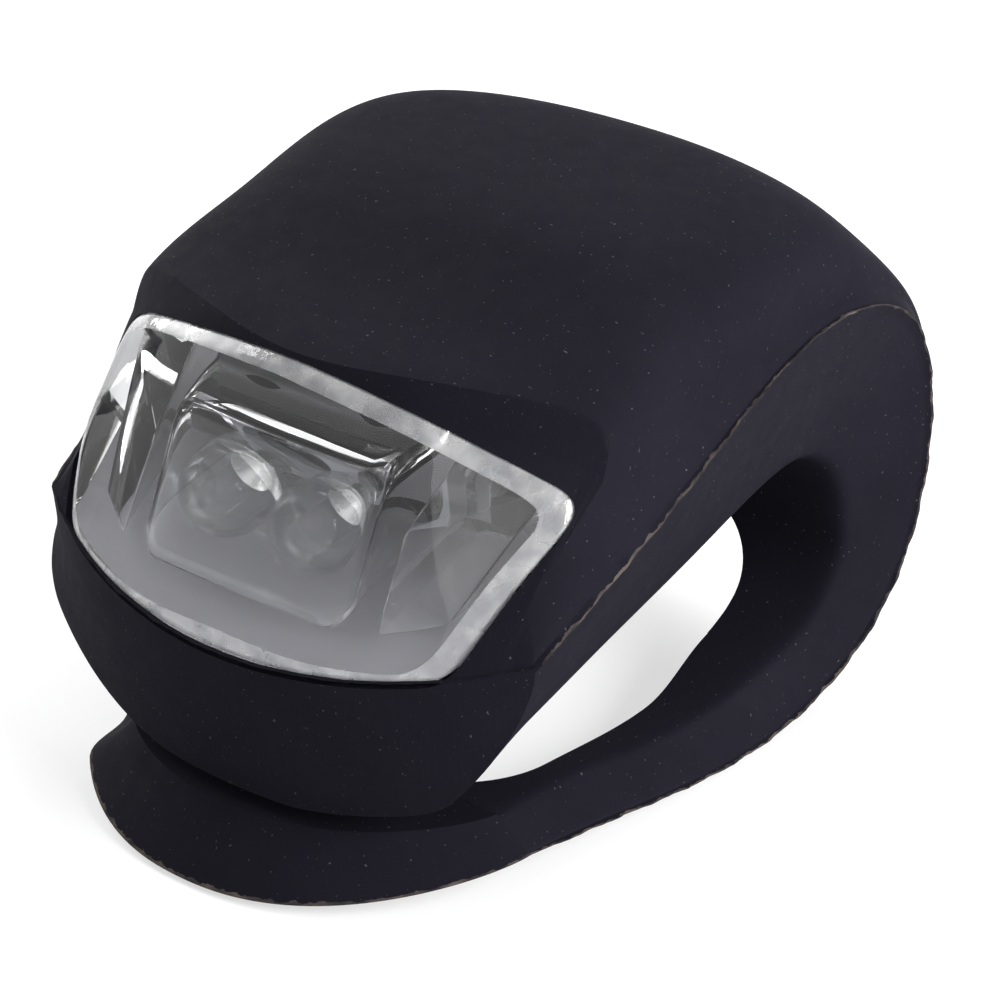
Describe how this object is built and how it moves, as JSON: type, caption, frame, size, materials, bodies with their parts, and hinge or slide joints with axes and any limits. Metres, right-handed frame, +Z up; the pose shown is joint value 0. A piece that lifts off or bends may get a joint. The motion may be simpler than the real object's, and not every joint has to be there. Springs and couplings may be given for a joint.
{
  "type": "bike light",
  "caption": "Small bicycle light: a clear-fronted lamp module in a soft silicone jacket whose loop strap hooks under the nose to clamp a handlebar.",
  "frame": {"origin": "middle of the whole object's outline, on the surface that the strap rests on", "axes": "+X to the light's right-hand side, -Y the way the lens faces, +Z up, away from the handlebar side of the strap"},
  "size_m": [0.035, 0.0472, 0.0325],
  "materials": {
    "silicone": "matte black silicone",
    "clear_plastic": "clear moulded plastic",
    "case_plastic": "frosted clear plastic",
    "cell_steel": "nickel-plated steel",
    "board": "green solder mask",
    "black_plastic": "black moulding",
    "ceramic_block": "chip resistor",
    "led_resin": "clear epoxy",
    "lead_metal": "tinned wire",
    "white_plastic": "white moulding",
    "contact_brass": "spring strip"
  },
  "bodies": {
    "jacket": {"jacket": "silicone"},
    "strap": {"strap": "silicone"},
    "module": {"lens": "clear_plastic", "module_shell": "case_plastic", "battery_cover": "case_plastic", "lower_cell_can": "cell_steel", "upper_cell_can": "cell_steel", "lower_cell_cap": "cell_steel", "upper_cell_cap": "cell_steel", "circuit_board": "board", "switch_base": "black_plastic", "controller_chip": "black_plastic", "resistors": "ceramic_block", "led_left_dome": "led_resin", "led_right_dome": "led_resin", "led_left_leads": "lead_metal", "led_right_leads": "lead_metal", "led_holder": "white_plastic", "positive_contact": "contact_brass", "negative_contact": "contact_brass"},
    "button": {"button_cap": "case_plastic", "switch_plunger": "black_plastic"}
  },
  "joints": [
    {"name": "strap_bend", "type": "hinge", "parent": "jacket", "child": "strap", "pos_m": [0, 0.0193, 0.0129], "axis": [1, 0, 0], "range_deg": [0, 50], "stiffness_Nm_per_rad": 0.01},
    {"name": "module_slide", "type": "slide", "parent": "jacket", "child": "module", "axis": [0, -0.9781, -0.2079], "range_m": [0, 0.038]},
    {"name": "button_press", "type": "slide", "parent": "module", "child": "button", "axis": [0, 0.2079, -0.9781], "range_m": [0, 0.00024], "stiffness_N_per_m": 4000}
  ]
}
